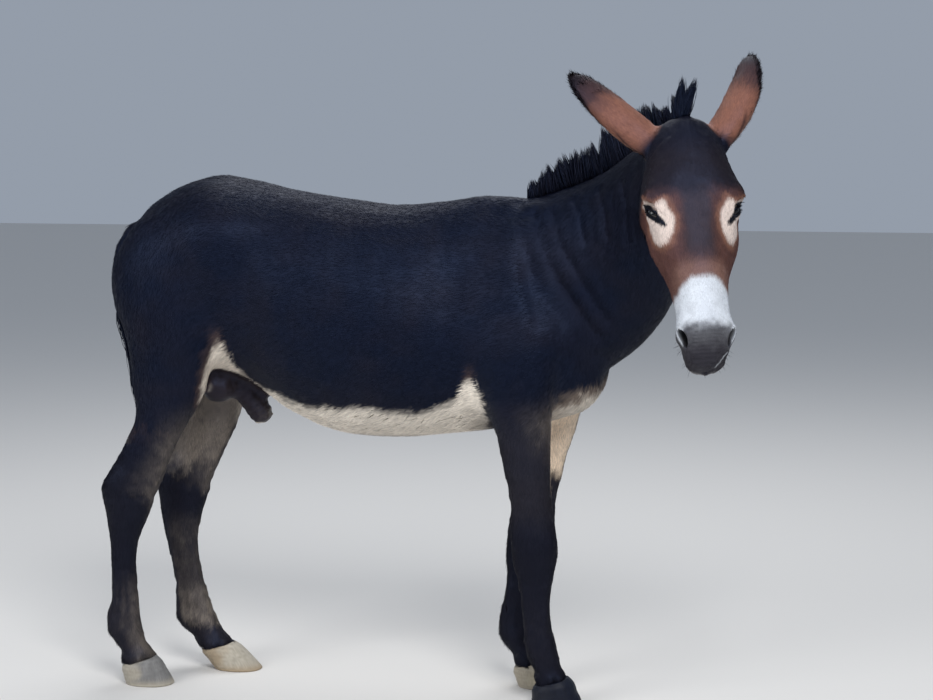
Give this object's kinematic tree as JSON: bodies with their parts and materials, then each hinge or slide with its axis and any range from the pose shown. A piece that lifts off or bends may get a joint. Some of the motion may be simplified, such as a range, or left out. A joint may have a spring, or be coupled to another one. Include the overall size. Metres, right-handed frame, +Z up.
{
  "type": "donkey",
  "caption": "Life-size still model of a standing black donkey, a jack, its head turned to its right, on flat soles.",
  "frame": {"origin": "on the floor, under the middle of the model's box", "axes": "+X forward along the trunk, +Y to the donkey's left, +Z up; the head is turned towards -Y"},
  "size_m": [1.5938, 0.7588, 1.5218],
  "materials": {
    "black_coat": "short glossy blue-black hair, cream on the belly",
    "face_coat": "short dark brown hair with cream eye rings and muzzle",
    "ear_coat": "short warm brown hair, black at the tip",
    "long_hair": "coarse black hair",
    "eye": "wet gloss",
    "horn": "dry horn with growth rings",
    "dark_skin": "bare dark skin"
  },
  "bodies": {
    "root": {"ear_left": "ear_coat", "ear_right": "ear_coat", "eye_left": "eye", "eye_right": "eye", "foreleg_left": "black_coat", "foreleg_right": "black_coat", "forelock": "long_hair", "head": "face_coat", "hindleg_left": "black_coat", "hindleg_right": "black_coat", "hoof_fore_left": "horn", "hoof_fore_right": "horn", "hoof_hind_left": "horn", "hoof_hind_right": "horn", "mane": "long_hair", "neck": "black_coat", "scrotum": "dark_skin", "sheath": "dark_skin", "tail": "long_hair", "trunk": "black_coat"}
  },
  "joints": []
}
